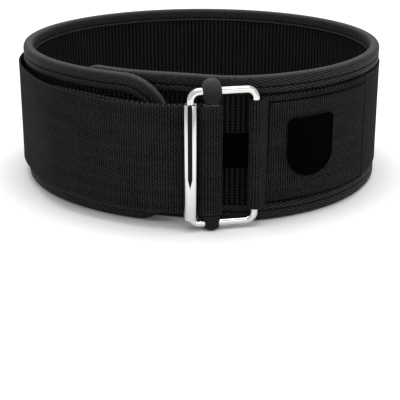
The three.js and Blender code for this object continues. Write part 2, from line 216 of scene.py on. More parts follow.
def along_wall(angle):
    """The distance along the wall at an angle seen from the middle of the loop."""
    return float(np.interp((outer_end_angle - angle) % 360, turns, wall[1]))


print("panel's length round the loop", round(wall_length, 1), "mm")

# %% [markdown]
# ## Cutting flat and rolling up
#
# A real belt is cut and sewn flat, then bent round the waist. The pieces here are made the same
# way: a grid of cells is laid out flat, closed round its section, given its flat place as UV map
# (in millimetres, so that a weave has a true scale), and only then rolled along its line. Bending
# with a Curve modifier would also do it, but the rolled mesh needs no live modifier.

# %% Helpers that roll and finish a piece
def rolled(line, columns, rows, flat):
    """A closed band of cells; flat(i, j) gives its place along, out and up, and its UV."""
    bm = bmesh.new()
    bmesh.ops.create_grid(bm, x_segments=columns - 1, y_segments=rows - 1, size=1)
    grid = np.array([v.co[:2] for v in bm.verts])
    i, j = np.rint((grid + 1) / 2 * (columns - 1, rows - 1)).astype(int).T
    along, out, up, u, v = flat(i, j)
    uv_map = bm.loops.layers.uv.new("flat")
    for face in bm.faces:
        for loop in face.loops:
            k = loop.vert.index
            loop[uv_map].uv = (u[k], v[k])
    plan = on_line(line, along, out)
    for vert, (x, y), z in zip(bm.verts, plan, up):
        vert.co = (x, y, z)
    bmesh.ops.remove_doubles(bm, verts=bm.verts, dist=0.002)
    bmesh.ops.holes_fill(bm, edges=[e for e in bm.edges if e.is_boundary])
    bmesh.ops.recalc_face_normals(bm, faces=bm.faces)
    return bm


to_model = Matrix.Scale(MM, 4) @ Matrix.Translation(model_place)


def finish_piece(name, bm, material, stands_for=(), body="belt"):
    """Turns a bmesh in millimetres into a piece of the belt."""
    bmesh.ops.transform(bm, matrix=to_model, verts=bm.verts)
    mesh = bpy.data.meshes.new(name)
    bm.to_mesh(mesh)
    bm.free()
    mesh.materials.append(material)
    mesh.shade_smooth()
    piece = bpy.data.objects.new(name, mesh)
    scene.collection.objects.link(piece)
    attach(piece, body)
    if stands_for:
        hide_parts(*stands_for)
    mesh.calc_loop_triangles()
    print(name, len(mesh.loop_triangles), "triangles")
    return piece


def round_section(rows, edge):
    """The way round a flat band: the share of its height, and its face, from 1 (out) to -1 (in)."""
    up = np.linspace(edge, 1 - edge, rows)
    height = np.concatenate([up, [1, 1], up[::-1], [0, 0], up[:1]])
    face = np.concatenate([np.ones(rows), [0.5, -0.5], -np.ones(rows), [-0.5, 0.5], [1]])
    return height, face


def corner_rise(distance, radius):
    """The rise of a rounded corner at a distance from a panel's end."""
    short = np.clip(radius - distance, 0, radius)
    return radius - np.sqrt(radius**2 - short**2)


def flat_band(
    line, stations, low, high, middle, thickness,
    rows=9, edge=0.007, corners=(0, 0, 0, 0), relief=None,
):
    """A band between two heights. Its corner radii: start top, start foot, end top, end foot."""
    share, face = round_section(rows, edge)
    start, end = stations - stations[0], stations[-1] - stations
    top = high - corner_rise(start, corners[0]) - corner_rise(end, corners[2])
    foot = low + corner_rise(start, corners[1]) + corner_rise(end, corners[3])

    def flat(i, j):
        along = stations[i]
        up = foot[i] + (top - foot)[i] * share[j]
        out = middle + face[j] * thickness / 2
        if relief is not None:
            out = out + relief(along, up, face[j])
        return along, out, up, along, up

    return rolled(line, len(stations), len(share), flat)


print("helpers ready")

# %% [markdown]
# ## One line for each step of a pattern
#
# A pattern is a short sum: divide by the thread's pitch, take the sine, raise it to a power.
# These helpers write each step of such a sum in one line, so that a weave reads like a recipe.

# %% Shader helpers
def maths(tree, operation, *values):
    """A Math node; each value is a socket or a number. Returns its output."""
    node = tree.nodes.new("ShaderNodeMath")
    node.operation = operation
    for socket, value in zip(node.inputs, values):
        if isinstance(value, bpy.types.NodeSocket):
            tree.links.new(value, socket)
        else:
            socket.default_value = value
    return node.outputs[0]


def add_node(tree, kind, **values):
    """A node of a kind, with sockets set or linked."""
    node = tree.nodes.new(kind)
    set_input(node, **values)
    return node


def add_group(tree, group, **values):
    """One use of a shader group, with sockets set or linked. Returns its outputs."""
    node = tree.nodes.new("ShaderNodeGroup")
    node.node_tree = group
    set_input(node, **values)
    return node.outputs


def make_group(name, outputs, vectors, **numbers):
    """An empty shader group, its inputs, its maths and a function that gives its outputs."""
    tree = bpy.data.node_groups.new(name, "ShaderNodeTree")
    for label in vectors:
        tree.interface.new_socket(label, in_out="INPUT", socket_type="NodeSocketVector")
    for label, value in numbers.items():
        socket = tree.interface.new_socket(label, in_out="INPUT", socket_type="NodeSocketFloat")
        socket.default_value = value
    for label in outputs:
        tree.interface.new_socket(label, in_out="OUTPUT", socket_type="NodeSocketFloat")
    inlet, outlet = tree.nodes.new("NodeGroupInput"), tree.nodes.new("NodeGroupOutput")
    return tree, inlet.outputs, partial(maths, tree), partial(set_input, outlet)


def split(tree, vector):
    """The x and y of a vector."""
    return add_node(tree, "ShaderNodeSeparateXYZ", Vector=vector).outputs[:2]


def pillow(tree, position):
    """A rounded hump over each whole step of a position."""
    return maths(tree, "ABSOLUTE", maths(tree, "SINE", maths(tree, "MULTIPLY", position, math.pi)))


FAR_ALONG, FAR_UP = 1e5, 1e4
ALL_ALONG = (-FAR_ALONG, FAR_ALONG)
print("shader helpers ready")

# %% [markdown]
# ## Weave, twill, cord and tone
#
# Nylon webbing is woven so tightly that it shows as a fine grid of small pillows, each column set
# half a row off the next. Binding tape is a twill, whose threads climb in diagonals. The panel's
# cloth is corded: thick upright cords, each wrapped so that it looks like beads. These three
# patterns are shader groups that read the flat UV map, so they follow the cloth round every bend.
# A fourth group draws a soft line round a flat rectangle, used both for painted shade along a sewn
# row and for a painted highlight along a fold or a selvedge. A fifth
# adds what makes cloth uneven: broad patches, speckles of fibre and faint streaks along the
# weave. An image of cloth would be quicker, but could not be scaled to the thread.

# %% Shader groups
webbing_weave, given, calc, give = make_group(
    "webbing_weave", ["Height", "Thread"], ["Flat"], Column=1.8, Row=1.42
)
u, v = split(webbing_weave, given["Flat"])
column = calc("DIVIDE", u, given["Column"])
half_row = calc("MULTIPLY", calc("MODULO", calc("FLOOR", column), 2.0), 0.5)
row = calc("ADD", calc("DIVIDE", v, given["Row"]), half_row)
across, up = pillow(webbing_weave, column), pillow(webbing_weave, row)
give(
    Height=calc("POWER", calc("MULTIPLY", across, up), 0.5),
    Thread=calc("MULTIPLY", calc("POWER", across, 1.2), calc("POWER", up, 2.6)),
)

tape_twill, given, calc, give = make_group(
    "tape_twill", ["Height", "Thread"], ["Flat"], Pitch=4.4, Slope=2.27, Fold=0.0
)
u, v = split(tape_twill, given["Flat"])
from_fold = calc("ABSOLUTE", calc("SUBTRACT", v, given["Fold"]))
climb = calc("MULTIPLY", from_fold, given["Slope"])
ridge = pillow(tape_twill, calc("DIVIDE", calc("ADD", u, climb), given["Pitch"]))
strand = pillow(tape_twill, calc("MULTIPLY", v, 1.6))
strand_shade = calc("ADD", calc("MULTIPLY", strand, 0.3), 0.7)
give(
    Height=calc("POWER", ridge, 0.7),
    Thread=calc("MULTIPLY", calc("POWER", ridge, 1.6), strand_shade),
)

cord_cloth, given, calc, give = make_group(
    "cord_cloth", ["Height", "Thread"], ["Flat"], Pitch=3.2, Bead=2.0
)
u, v = split(cord_cloth, given["Flat"])
hump = pillow(cord_cloth, calc("DIVIDE", u, given["Pitch"]))
lean = calc("MULTIPLY", hump, 0.5)
bead = pillow(cord_cloth, calc("ADD", calc("DIVIDE", v, given["Bead"]), lean))
give(
    Height=calc("MULTIPLY", calc("POWER", bead, 0.6), hump),
    Thread=calc("MULTIPLY", calc("POWER", hump, 1.5), bead),
)

# A soft line round a flat rectangle: painted shade along seams, painted highlights along folds and
# selvedges.
painted_light_line, given, calc, give = make_group(
    "painted_light_line", ["Line"], ["Flat"],
    Start=-FAR_ALONG, Stop=FAR_ALONG, Low=0.0, High=1.0, Width=0.6, Lean=0.0,
)
u, v = split(painted_light_line, given["Flat"])
lean = calc("MULTIPLY", calc("SUBTRACT", v, given["Low"]), given["Lean"])
start = calc("ADD", given["Start"], lean)
sides = []
for place, first, last in ((u, start, given["Stop"]), (v, given["Low"], given["High"])):
    middle = calc("MULTIPLY", calc("ADD", first, last), 0.5)
    half = calc("MULTIPLY", calc("SUBTRACT", last, first), 0.5)
    sides.append(calc("SUBTRACT", calc("ABSOLUTE", calc("SUBTRACT", place, middle)), half))
away = calc("DIVIDE", calc("ABSOLUTE", calc("MAXIMUM", *sides)), given["Width"])
give(Line=calc("MAXIMUM", calc("SUBTRACT", 1.0, calc("MULTIPLY", away, away)), 0.0))

cloth_tone, given, calc, give = make_group(
    "cloth_tone", ["Tone", "Fibre"], ["Place", "Flat"],
    Thread=1.0, Contrast=1.0, Speckle=0.5, Streak=0.0,
)
stretch = cloth_tone.nodes.new("ShaderNodeVectorMath")
stretch.operation = "MULTIPLY"
stretch.inputs[1].default_value = (0.012, 0.24, 0)
cloth_tone.links.new(given["Flat"], stretch.inputs[0])
broad, fine, streaks = (
    add_node(
        cloth_tone, "ShaderNodeTexNoise", Vector=place, Scale=scale, Detail=3.0, Roughness=rough
    ).outputs[0]
    for place, scale, rough in (
        (given["Place"], 38.0, 0.6), (given["Place"], 900.0, 0.7), (stretch.outputs[0], 1.0, 0.6)
    )
)
# Thread tops lighter, gaps darker: partly the weave's own pattern, partly painted shade between the
# threads.
tone = calc("MULTIPLY", given["Thread"], given["Contrast"])
for noise, amount in ((broad, 0.35), (fine, given["Speckle"]), (streaks, given["Streak"])):
    tone = calc("ADD", tone, calc("MULTIPLY", calc("SUBTRACT", noise, 0.5), amount))
give(Tone=tone, Fibre=fine)
print("shader groups", [tree.name for tree in bpy.data.node_groups])

# %% [markdown]
# ## Cloth materials
#
# Every cloth is the same kind of shader with another pattern: thread tops are a little lighter
# than the gaps, partly the weave's own pattern and partly painted shade between the threads,
# the weave is a bump, and fibre ends scatter light at a slant, which the sheen stands for.
# Seams are darkened with painted shade, and folds and selvedges are lightened with painted
# highlights. Only the numbers differ, so one function makes them all. The stitches are too small
# for a flat map, so their twill reads the place on the object instead.

# %% Cloth
def new_material(name):
    """An empty material, its nodes, its shader and the places that a pattern can read."""
    material = bpy.data.materials.new(name)
    material.use_nodes = True
    tree = material.node_tree
    places = tree.nodes.new("ShaderNodeTexCoord").outputs
    return material, tree, tree.nodes["Principled BSDF"], places


def mix_colours(tree, factor, dark, light):
    """A colour between two, by a factor that changes over the surface."""
    node = tree.nodes.new("ShaderNodeMix")
    node.data_type = "RGBA"
    node.clamp_factor = False
    set_input(node, Factor=maths(tree, "MAXIMUM", factor, 0.0), A=(*dark, 1), B=(*light, 1))
    return node.outputs["Result"]


def link_bump(tree, shader, height, depth):
    """A bump, depth in metres, that feeds the shader's normal."""
    bump = add_node(tree, "ShaderNodeBump", Height=height, Strength=1.0, Distance=depth)
    set_input(shader, Normal=bump.outputs["Normal"])


def add_painted_line(tree, places, box):
    """A line round a flat rectangle, which paints shade along seams and highlights along edges:
    start, stop, low, high, width and the start's lean.
    """
    values = dict(zip(("Start", "Stop", "Low", "High", "Width", "Lean"), box))
    return add_group(tree, painted_light_line, Flat=places["UV"], **values)["Line"]


def make_cloth(
    name, pattern, dark, light, depth, contrast=1.0, speckle=0.7, streak=0.0, sheen=0.02,
    gloss=0.02, rough=(0.75, 0.95), seams=(), painted_highlights=(), reads="UV", **pitches,
):
    """A woven cloth: pattern is a shader group, and reads names the places that it reads."""
    material, tree, shader, places = new_material(name)
    weave = add_group(tree, pattern, Flat=places[reads], **pitches)
    tone = add_group(
        tree, cloth_tone, Place=places["Object"], Flat=places[reads], Thread=weave["Thread"],
        Contrast=contrast, Speckle=speckle, Streak=streak,
    )
    shade = tone["Tone"]
    # Painted shade along each sewn line.
    for box in seams:
        beside_seam_shade = maths(tree, "SUBTRACT", 1.0, add_painted_line(tree, places, box))
        shade = maths(tree, "MULTIPLY", shade, beside_seam_shade)
    # Painted highlights, added along folds and selvedges.
    for *box, strength in painted_highlights:
        highlight_paint = maths(tree, "MULTIPLY", add_painted_line(tree, places, box), strength)
        shade = maths(tree, "ADD", shade, highlight_paint)
    rough_map = add_node(
        tree, "ShaderNodeMapRange", Value=tone["Tone"], To_Min=rough[1], To_Max=rough[0]
    )
    fibre = maths(tree, "MULTIPLY", tone["Fibre"], 0.25)
    link_bump(tree, shader, maths(tree, "ADD", weave["Height"], fibre), depth)
    set_input(
        shader, Base_Color=mix_colours(tree, shade, dark, light), Roughness=rough_map.outputs[0],
        Specular_IOR_Level=gloss, Sheen_Weight=sheen, Sheen_Roughness=0.45,
        Sheen_Tint=(0.8, 0.8, 0.82, 1),
    )
    return material


panel_cloth = make_cloth(
    "corded_panel_cloth", cord_cloth, (0.002, 0.002, 0.002), (0.0225, 0.0225, 0.023), 0.0004,
    contrast=0.95, sheen=0.0, gloss=0.02, Pitch=cord_pitch,
)
strap_look = dict(
    pattern=webbing_weave, dark=(0.0004, 0.0004, 0.0004), depth=0.0003, speckle=1.3, streak=0.6
)
strap_cloth = make_cloth(
    "strap_webbing", **strap_look, light=(0.0265, 0.0265, 0.027), contrast=1.5,
    # Painted highlight: a light line along both selvedges of the strap, where the edges catch
    # light.
    painted_highlights=[(*ALL_ALONG, strap_low + 0.8, belt_height - strap_low - 0.8, 0.9, 0.3)],
)
thread_look = dict(pattern=tape_twill, depth=0.0001, sheen=0.0, reads="Object", Pitch=0.0012)
thread_cloth = make_cloth(
    "sewing_thread", dark=(0.0006, 0.0006, 0.0006), light=(0.0026, 0.0026, 0.0026), **thread_look
)
patch_thread = make_cloth(
    "patch_thread", dark=(0.003, 0.003, 0.003), light=(0.02, 0.02, 0.0205), **thread_look
)
print("cloths", [m.name for m in (panel_cloth, strap_cloth, thread_cloth, patch_thread)])

# %% [markdown]
# ## The padded panel
#
# The panel is a foam core in corded cloth. The cords are 3.4 mm apart and stand out enough to
# catch the light inside the loop, so they are real relief here, cut into the flat face, and the
# finer wrapping on each cord is a bump. A cloth simulation would puff the panel up, but this foam
# is thin, firm and quilted by its binding: its faces stay flat, and only ease down near the tape.
# The inner face is pressed in by a millimetre, with the tape's inner leg.

# %% Padded panel
cord_depth = 0.5
panel_inset = binding_ply + clearance


def cord_relief(along, up, face):
    """Grooves between the cords, and the ease of the foam under the tape."""
    groove = 1 - np.abs(np.sin(np.pi * along / cord_pitch)) ** 0.6
    from_edge = np.minimum(up, belt_height - up)
    ease = np.clip(1 - (from_edge - binding_depth) / 6, 0, 1) ** 2
    return -np.sign(face) * (cord_depth * groove + 0.25 * ease)


inner_ease = 1.0
steps_per_cord = 8
columns = int(round((wall_length - 2 * panel_inset) / cord_pitch * steps_per_cord))
corner_radii = (outer_top_radius, outer_foot_radius, inner_end_radius, inner_end_radius)
panel = flat_band(
    wall, np.linspace(panel_inset, wall_length - panel_inset, columns),
    panel_inset, belt_height - panel_inset, inner_ease / 2, panel_thickness - inner_ease,
    rows=13, corners=[radius - panel_inset for radius in corner_radii], relief=cord_relief,
)
padded_panel = finish_piece("padded_panel", panel, panel_cloth, ["padded_body"])

# %% [markdown]
# ## The edge binding
#
# A twill tape is folded over the panel's raw edge all the way round, and one row of stitches
# through both legs holds it. The thread pulls the tape in, so it bulges on both sides of the row.
# The tape is one closed ring: its section is swept round the flat panel's outline, over the
# rounded ends as well, and then rolled with the panel.

# %% Edge binding
stitch_depth = 7.4


def quarter(along, height, radius, from_angle):
    """Stations on a rounded corner, turning clockwise: place, and the direction inwards."""
    angle = np.radians(from_angle - np.arange(3, 90, 3))
    turned = zip(np.cos(angle), np.sin(angle))
    return [(along + radius * c, height + radius * s, -c, -s) for c, s in turned]


def straight(start, stop, height, inward):
    """Stations along the panel's top or bottom edge."""
    count = int(abs(stop - start) / 2)
    return [(along, height, 0, inward) for along in np.linspace(start, stop, count)]


def upright(along, start, stop, inward):
    """Stations up or down a panel's end."""
    return [(along, height, inward, 0) for height in np.linspace(start, stop, 16)]


outline = np.array(
    upright(0, outer_foot_radius, belt_height - outer_top_radius, 1)
    + quarter(outer_top_radius, belt_height - outer_top_radius, outer_top_radius, 180)
    + straight(outer_top_radius, wall_length - inner_end_radius, belt_height, -1)
    + quarter(wall_length - inner_end_radius, belt_height - inner_end_radius, inner_end_radius, 90)
    + upright(wall_length, belt_height - inner_end_radius, inner_end_radius, -1)
    + quarter(wall_length - inner_end_radius, inner_end_radius, inner_end_radius, 0)
    + straight(wall_length - inner_end_radius, outer_foot_radius, 0, 1)
    + quarter(outer_foot_radius, outer_foot_radius, outer_foot_radius, -90)
)
outline = np.vstack([outline, outline[:1]])
outline_length = np.concatenate([[0], np.cumsum(np.hypot(*np.diff(outline[:, :2], axis=0).T))])

outer_leg = [
    # depth below the fold, distance out
    (12, 3.75), (11.7, 4.05), (10.5, 4.3), (9.2, 4.32), (8.5, 4.25), (8, 4.05), (7.7, 3.75),
    (7.4, 3.6), (7.1, 3.75), (6.8, 4.05), (6.3, 4.25), (5.4, 4.38), (4.2, 4.4), (3.2, 4.38),
    (2.3, 4.22), (1.5, 3.9), (0.8, 3.35), (0.35, 2.6), (0.08, 1.5), (0, 0),
]
inner_leg = [
    (0.08, -1.5), (0.35, -2.6), (0.8, -3.35), (1.5, -3.9), (2.3, -4.22), (3.2, -4.38),
    (4.2, -4.38), (5.4, -4.3), (6.4, -4.1), (7, -3.8), (7.4, -3.6), (7.8, -3.85), (8.1, -4.4),
    (8.5, -4.72), (8.9, -4.72), (9.25, -4.4), (9.4, -3.9),
]
slot_half = half_binding - binding_ply
slot = [
    (inner_leg[-1][0], -slot_half), (binding_ply, -slot_half), (binding_ply, slot_half),
    (binding_depth, slot_half), outer_leg[0],
]
tape_depth, tape_out = np.array(outer_leg + inner_leg + slot).T
inner_share = 0.72
tape_out = np.where(tape_out < 0, tape_out * inner_share, tape_out)
tape_steps = np.hypot(np.diff(tape_depth), np.diff(tape_out))
tape_across = np.concatenate([[0], np.cumsum(tape_steps)])
tape_points = outer_leg + inner_leg
fold, outer_seam, inner_seam, bead_row = (
    float(tape_across[tape_points.index(point)])
    for point in ((0, 0), (stitch_depth, 3.6), (stitch_depth, -3.6), (8.9, -4.72))
)
tape_cloth = make_cloth(
    "twill_tape", tape_twill, (0.0015, 0.0015, 0.0015), (0.0245, 0.0245, 0.025), 0.00025,
    contrast=1.25, speckle=3.2, sheen=0.02, gloss=0.08, rough=(0.55, 0.75), Fold=fold,
    # The stitch row is darkened with painted shade along its groove.
    seams=[(*ALL_ALONG, outer_seam, inner_seam, 0.7)],
    # Painted highlights: a light line on the raised bead of the inner leg, and a broad one over the
    # rolled fold, where light from above falls.
    painted_highlights=[
        (*ALL_ALONG, -FAR_UP, bead_row, 0.7, 0.6), (*ALL_ALONG, -FAR_UP, fold, 4.4, 1.4)
    ],
)


def tape_flat(i, j):
    """The tape's section at each station of the panel's outline."""
    along, height, in_along, in_height = outline[i].T
    depth = tape_depth[j]
    along, height = along + depth * in_along, height + depth * in_height
    return along, tape_out[j], height, outline_length[i], tape_across[j]


binding = rolled(wall, len(outline), len(tape_depth), tape_flat)
both_bindings = ["edge_binding_top", "edge_binding_bottom"]
finish_piece("binding_tape", binding, tape_cloth, both_bindings)

# %% [markdown]
# ## The buckle's place
#
# The wire rectangle hangs on its right bar in a turn of webbing, and leans towards the panel at
# its left. Everything on the buckle is placed by its distance right of the left bar and its
# distance to the front, so the wire, roller, bar, caps and both webbings agree. The left bar's own
# place is read from the solid roller, because the dressed roller has to turn about the same axis.

# %% Buckle's frame of measure
hinge_angle = -75.4
frame_turn = math.radians(12)
frame_width = 43.5
frame_bend = 6
wire_diameter = 5.2
wire_reach = 7.8
frame_height = strap_width + 2 * wire_reach
frame_drop = 0.5
frame_centre = belt_height / 2 - frame_drop
roller_play = 1.3
roller_wall = 0.8
roller_gap = 1.8
roller_diameter = wire_diameter + 2 * (roller_play + roller_wall)
bar_width = 11.2
bar_thickness = 4.4
bar_place = roller_diameter / 2 + roller_gap + strap_thickness + clearance + bar_width / 2
loop_tube = wire_diameter / 2 + clearance + strap_thickness / 2
frame_along = np.array([math.cos(frame_turn), math.sin(frame_turn)])
frame_front = np.array([frame_along[1], -frame_along[0]])
solid_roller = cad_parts["roller"]
roller_corners = [solid_roller.matrix_world @ Vector(corner) for corner in solid_roller.bound_box]
left_bar = (np.array(roller_corners) / MM).mean(axis=0)[:2] - model_place[:2]
hinge = left_bar + frame_width * frame_along


def in_buckle(right, front):
    """A plan place from its distance right of the left bar and its distance to the front."""
    return hinge + (right - frame_width) * frame_along + front * frame_front


def buckle_arc(right, radius, start, stop, step=6):
    """Points of an arc round a bar, by angles in degrees."""
    count = max(3, int(abs(stop - start) / step))
    return [
        in_buckle(right + radius * math.cos(a), radius * math.sin(a))
        for a in np.radians(np.linspace(start, stop, count))
    ]


print("buckle's left bar", in_buckle(0, 0).round(2), "right bar", hinge.round(2))

# %% [markdown]
# ## The strap
#
# Three inch webbing is sewn to the panel from beside the buckle, round the right side and the
# back. On the left it comes free, bows off the panel, passes behind the roller, crosses to the
# front of the slide bar, turns round it and runs back behind itself. Real webbing keeps its
# width and only bends one way, so it is a flat band rolled along that line. The line is smoothed
# a little where two arcs meet.

# %% Strap
seam_angle = -68
patch_angle = 86
patch_width = 110
strap_bow = 9.4
strap_drop = 2
drop_run = 60
tail_gap = 0.4
tail_length = 82
free_length = along_wall(patch_angle) - patch_width / 2 - 2
strap_lift = smooth(lift_table)


def free_strap(distances, inward=0.0):
    """Places on the free strap, by distance along the wall."""
    lift = np.array([strap_lift(distance / free_length) for distance in distances])
    return list(on_line(wall, distances, strap_rest + strap_bow * lift - inward))


def even_line(points, step, blur):
    """A line with even steps, its corners eased over a few steps."""
    points, lengths, _ = make_line(points)
    at = np.linspace(0, lengths[-1], int(lengths[-1] / step) + 1)
    even = np.column_stack([np.interp(at, lengths, column) for column in points.T])
    for _ in range(blur):
        even[1:-1] = (even[:-2] + 2 * even[1:-1] + even[2:]) / 4
    return make_line(even)


wrap_radius = bar_thickness / 2 + clearance + strap_thickness / 2
roller_wrap = roller_diameter / 2 + clearance + strap_thickness / 2
turn_offset = bar_width / 2 - bar_thickness / 2
cross = math.degrees(math.acos((wrap_radius + roller_wrap) / (bar_place - turn_offset)))
tail_step = strap_thickness + tail_gap
strap_line = even_line(
    list(on_line(wall, np.linspace(along_wall(seam_angle), free_length, 200), strap_rest))
    + free_strap(np.linspace(free_length, 0, 220))[1:]
    + buckle_arc(0, roller_wrap, -120, -cross)
    + buckle_arc(bar_place - turn_offset, wrap_radius, 180 - cross, 90)
    + buckle_arc(bar_place + turn_offset, wrap_radius, 90, -90)
    + buckle_arc(0, roller_wrap + tail_step + tail_gap, -48, -115)
    + free_strap(np.linspace(0, tail_length, 40), tail_step),
    0.8,
    2,
)
strap_length = strap_line[1][-1]


def strap_sag(distance):
    """The strap sinks a little towards the buckle, and rises again in its tail."""
    start, stop = along_wall(seam_angle), strap_length - tail_length
    away = np.clip(np.maximum(start - distance, distance - stop) / drop_run, 0, 1)
    return strap_drop * (1 - away * away * (3 - 2 * away))


strap_stations = np.linspace(0, strap_length, int(strap_length))
strap_share, strap_face = round_section(15, 0.008)
selvedge_width = 2.2
web_drop = 0.12


def strap_flat(i, j):
    """The strap's section at each station, with a selvedge a little fuller than the web."""
    along = strap_stations[i]
    up = strap_low + strap_width * strap_share[j]
    from_edge = np.minimum(strap_share[j], 1 - strap_share[j]) * strap_width
    web = np.where(from_edge > selvedge_width, -web_drop, 0.0)
    out = strap_face[j] * (strap_thickness / 2 + web)
    return along, out, up - strap_sag(along), along, up


strap_band = rolled(strap_line, len(strap_stations), len(strap_share), strap_flat)
finish_piece("strap_webbing", strap_band, strap_cloth, ["strap"])
print("strap's length", round(strap_length, 1), "mm")

# %% [markdown]
# ## The buckle loop
#
# A second length of the same webbing holds the buckle. It starts on the panel, turns round the
# right bar, comes back over its own start and runs on over the strap to a second seam. It is
# rolled in the same way as the strap, along a line with one tight turn.

# %% Buckle loop
loop_end_angle = -31.9
outer_pinch = along_wall(hinge_angle) - 9
inner_pinch = outer_pinch + 1.2
loop_inner = list(
    on_line(wall, np.linspace(along_wall(seam_angle) + 1, inner_pinch, 12), strap_rest)
)
loop_outer = list(
    on_line(wall, np.linspace(outer_pinch, along_wall(loop_end_angle), 90), outer_ply_rest)
)


def touch_angle(point, side):
    """The angle at which a line from a point touches the turn round the right bar."""
    offset = point - hinge
    right, front = offset @ frame_along, offset @ frame_front
    reach = math.acos(loop_tube / math.hypot(right, front))
    return math.degrees(math.atan2(front, right) + side * reach)


touch_back, touch_front = touch_angle(loop_inner[-1], -1), touch_angle(loop_outer[0], 1)
loop_turn = buckle_arc(frame_width, loop_tube, touch_back, touch_front - 360)
loop_line = even_line(loop_inner + loop_turn + loop_outer, 0.8, 2)
loop_length = loop_line[1][-1]
seam_place = loop_length - make_line(loop_outer)[1][-1] + 1.5
loop_stations = np.linspace(0, loop_length, int(loop_length / 0.9))
box_start, box_stop = seam_place - 2.6, loop_length - 1.4
box_low, box_high = strap_low + 1.0, strap_low + strap_width - 3.8
box_lean = 0.035


def seam_relief(along, up, face):
    """The web draws in along its upright seams, and lies a little lower inside its selvedge."""
    first = box_start + box_lean * (up - box_low)
    seams = ((along - place) / 0.8 for place in (first, box_stop))
    drawn = sum(np.exp(-(away**2)) for away in seams)
    from_edge = np.minimum(up - strap_low, strap_low + strap_width - up)
    web = np.where(from_edge > selvedge_width, web_drop, 0.0)
    return -face * web - np.maximum(face, 0) * 0.4 * drawn


loop_cloth = make_cloth(
    "loop_webbing", **strap_look, light=(0.0325, 0.0325, 0.033), contrast=1.3,
    # Painted shade: dark lines along the sewn box, and a wider painted shadow at the cut end, where
    # the web steps down onto the strap.
    seams=[
        (box_start, box_stop, box_low, box_high, 1.0, box_lean),
        (-FAR_ALONG, loop_length - 0.4, -FAR_UP, FAR_UP, 2.0),
    ],
)
loop_band = flat_band(
    loop_line, loop_stations, strap_low, strap_low + strap_width, 0, strap_thickness,
    rows=15, edge=0.008, relief=seam_relief,
)
finish_piece("buckle_webbing", loop_band, loop_cloth, ["buckle_loop"])

# %% [markdown]
# ## Chrome, steel and rubber
#
# The wire and the roller are steel with polished chrome: a mirror with the faintest haze where
# it has been handled. A roller is a strip rolled into a tube, and the slit where its edges meet
# is painted as a thin dark line, the shade inside the gap, that closes towards the foot. The caps
# are moulded rubber, matt and a little green, with painted light: paler towards the top and darker
# below, as the light from above falls. One group of fine grain serves the haze, the rubber and the
# patches.

# %% Hard materials
fine_grain, given, calc, give = make_group(
    "fine_grain", ["Grain", "Level"], ["Place"], Scale=900.0, Low=0.0, High=1.0
)
grain = add_node(
    fine_grain, "ShaderNodeTexNoise",
    Vector=given["Place"], Scale=given["Scale"], Detail=4.0, Roughness=0.6,
).outputs[0]
span = calc("SUBTRACT", given["High"], given["Low"])
give(Grain=grain, Level=calc("ADD", calc("MULTIPLY", grain, span), given["Low"]))


def add_grain(tree, places, scale, low, high):
    """The grain group, read by place on the object: its grain and its level."""
    grain = add_group(tree, fine_grain, Place=places["Object"], Scale=scale, Low=low, High=high)
    return grain["Grain"], grain["Level"]


def make_metal(name, colour, scale, rough):
    """Polished or plain metal whose roughness wanders a little."""
    material, tree, shader, places = new_material(name)
    grain, level = add_grain(tree, places, scale, *rough)
    set_input(shader, Base_Color=(*colour, 1), Metallic=1.0, Roughness=level)
    link_bump(tree, shader, grain, 0.000004)
    return material, tree, shader, places


chrome_colour, slit_shade_colour = (0.685, 0.685, 0.67), (0.007, 0.011, 0.0088)
chrome, *_ = make_metal("polished_chrome", chrome_colour, 60.0, (0.02, 0.14))
steel, *_ = make_metal("plain_steel", (0.55, 0.56, 0.57), 400.0, (0.25, 0.45))

roller_length = 79.0
slit_foot, slit_closed, slit_half, slit_side, slit_soft = 22.5, 29.0, 1.55, -1.35, 0.08
roller_chrome, tree, shader, places = make_metal("rolled_chrome", chrome_colour, 60.0, (0.03, 0.16))
u, v = split(tree, places["UV"])
# The slit is painted shade: a dark, non-metal line where the gap shows its shadow.
opening = add_node(
    tree, "ShaderNodeMapRange",
    Value=v, From_Min=slit_foot, From_Max=slit_closed, To_Min=0.0, To_Max=slit_half,
)
from_slit = maths(tree, "ABSOLUTE", maths(tree, "SUBTRACT", u, slit_side))
inside = maths(tree, "SUBTRACT", opening.outputs[0], from_slit)
slit = add_node(tree, "ShaderNodeMapRange", Value=inside, From_Min=-slit_soft, From_Max=slit_soft)
slit_shade_mask = slit.outputs[0]
set_input(
    shader, Base_Color=mix_colours(tree, slit_shade_mask, chrome_colour, slit_shade_colour),
    Metallic=maths(tree, "SUBTRACT", 1.0, slit_shade_mask), Specular_IOR_Level=0.04,
)


def make_moulded(name, dark, light, scale, rough, depth, gloss, rise=(0.0, 0.2)):
    """Moulded rubber or a flat patch: a fine grain, and painted light, paler towards the top of a
    rise and darker below it.
    """
    material, tree, shader, places = new_material(name)
    grain, level = add_grain(tree, places, scale, *rough)
    height = add_node(tree, "ShaderNodeSeparateXYZ", Vector=places["Object"]).outputs["Z"]
    # Painted light: the colour grows paler with height over the rise, darker at the foot, as light
    # from above falls.
    painted_top_light = add_node(
        tree, "ShaderNodeMapRange", Value=height, From_Min=rise[0], From_Max=rise[1]
    )
    painted_top_light.interpolation_type = "SMOOTHSTEP"
    pale = maths(tree, "MULTIPLY", painted_top_light.outputs[0], 0.8)
    tone = maths(tree, "ADD", maths(tree, "MULTIPLY", grain, 0.4), pale)
    set_input(
        shader, Base_Color=mix_colours(tree, tone, dark, light), Roughness=level,
        Specular_IOR_Level=gloss,
    )
    link_bump(tree, shader, grain, depth)
    return material


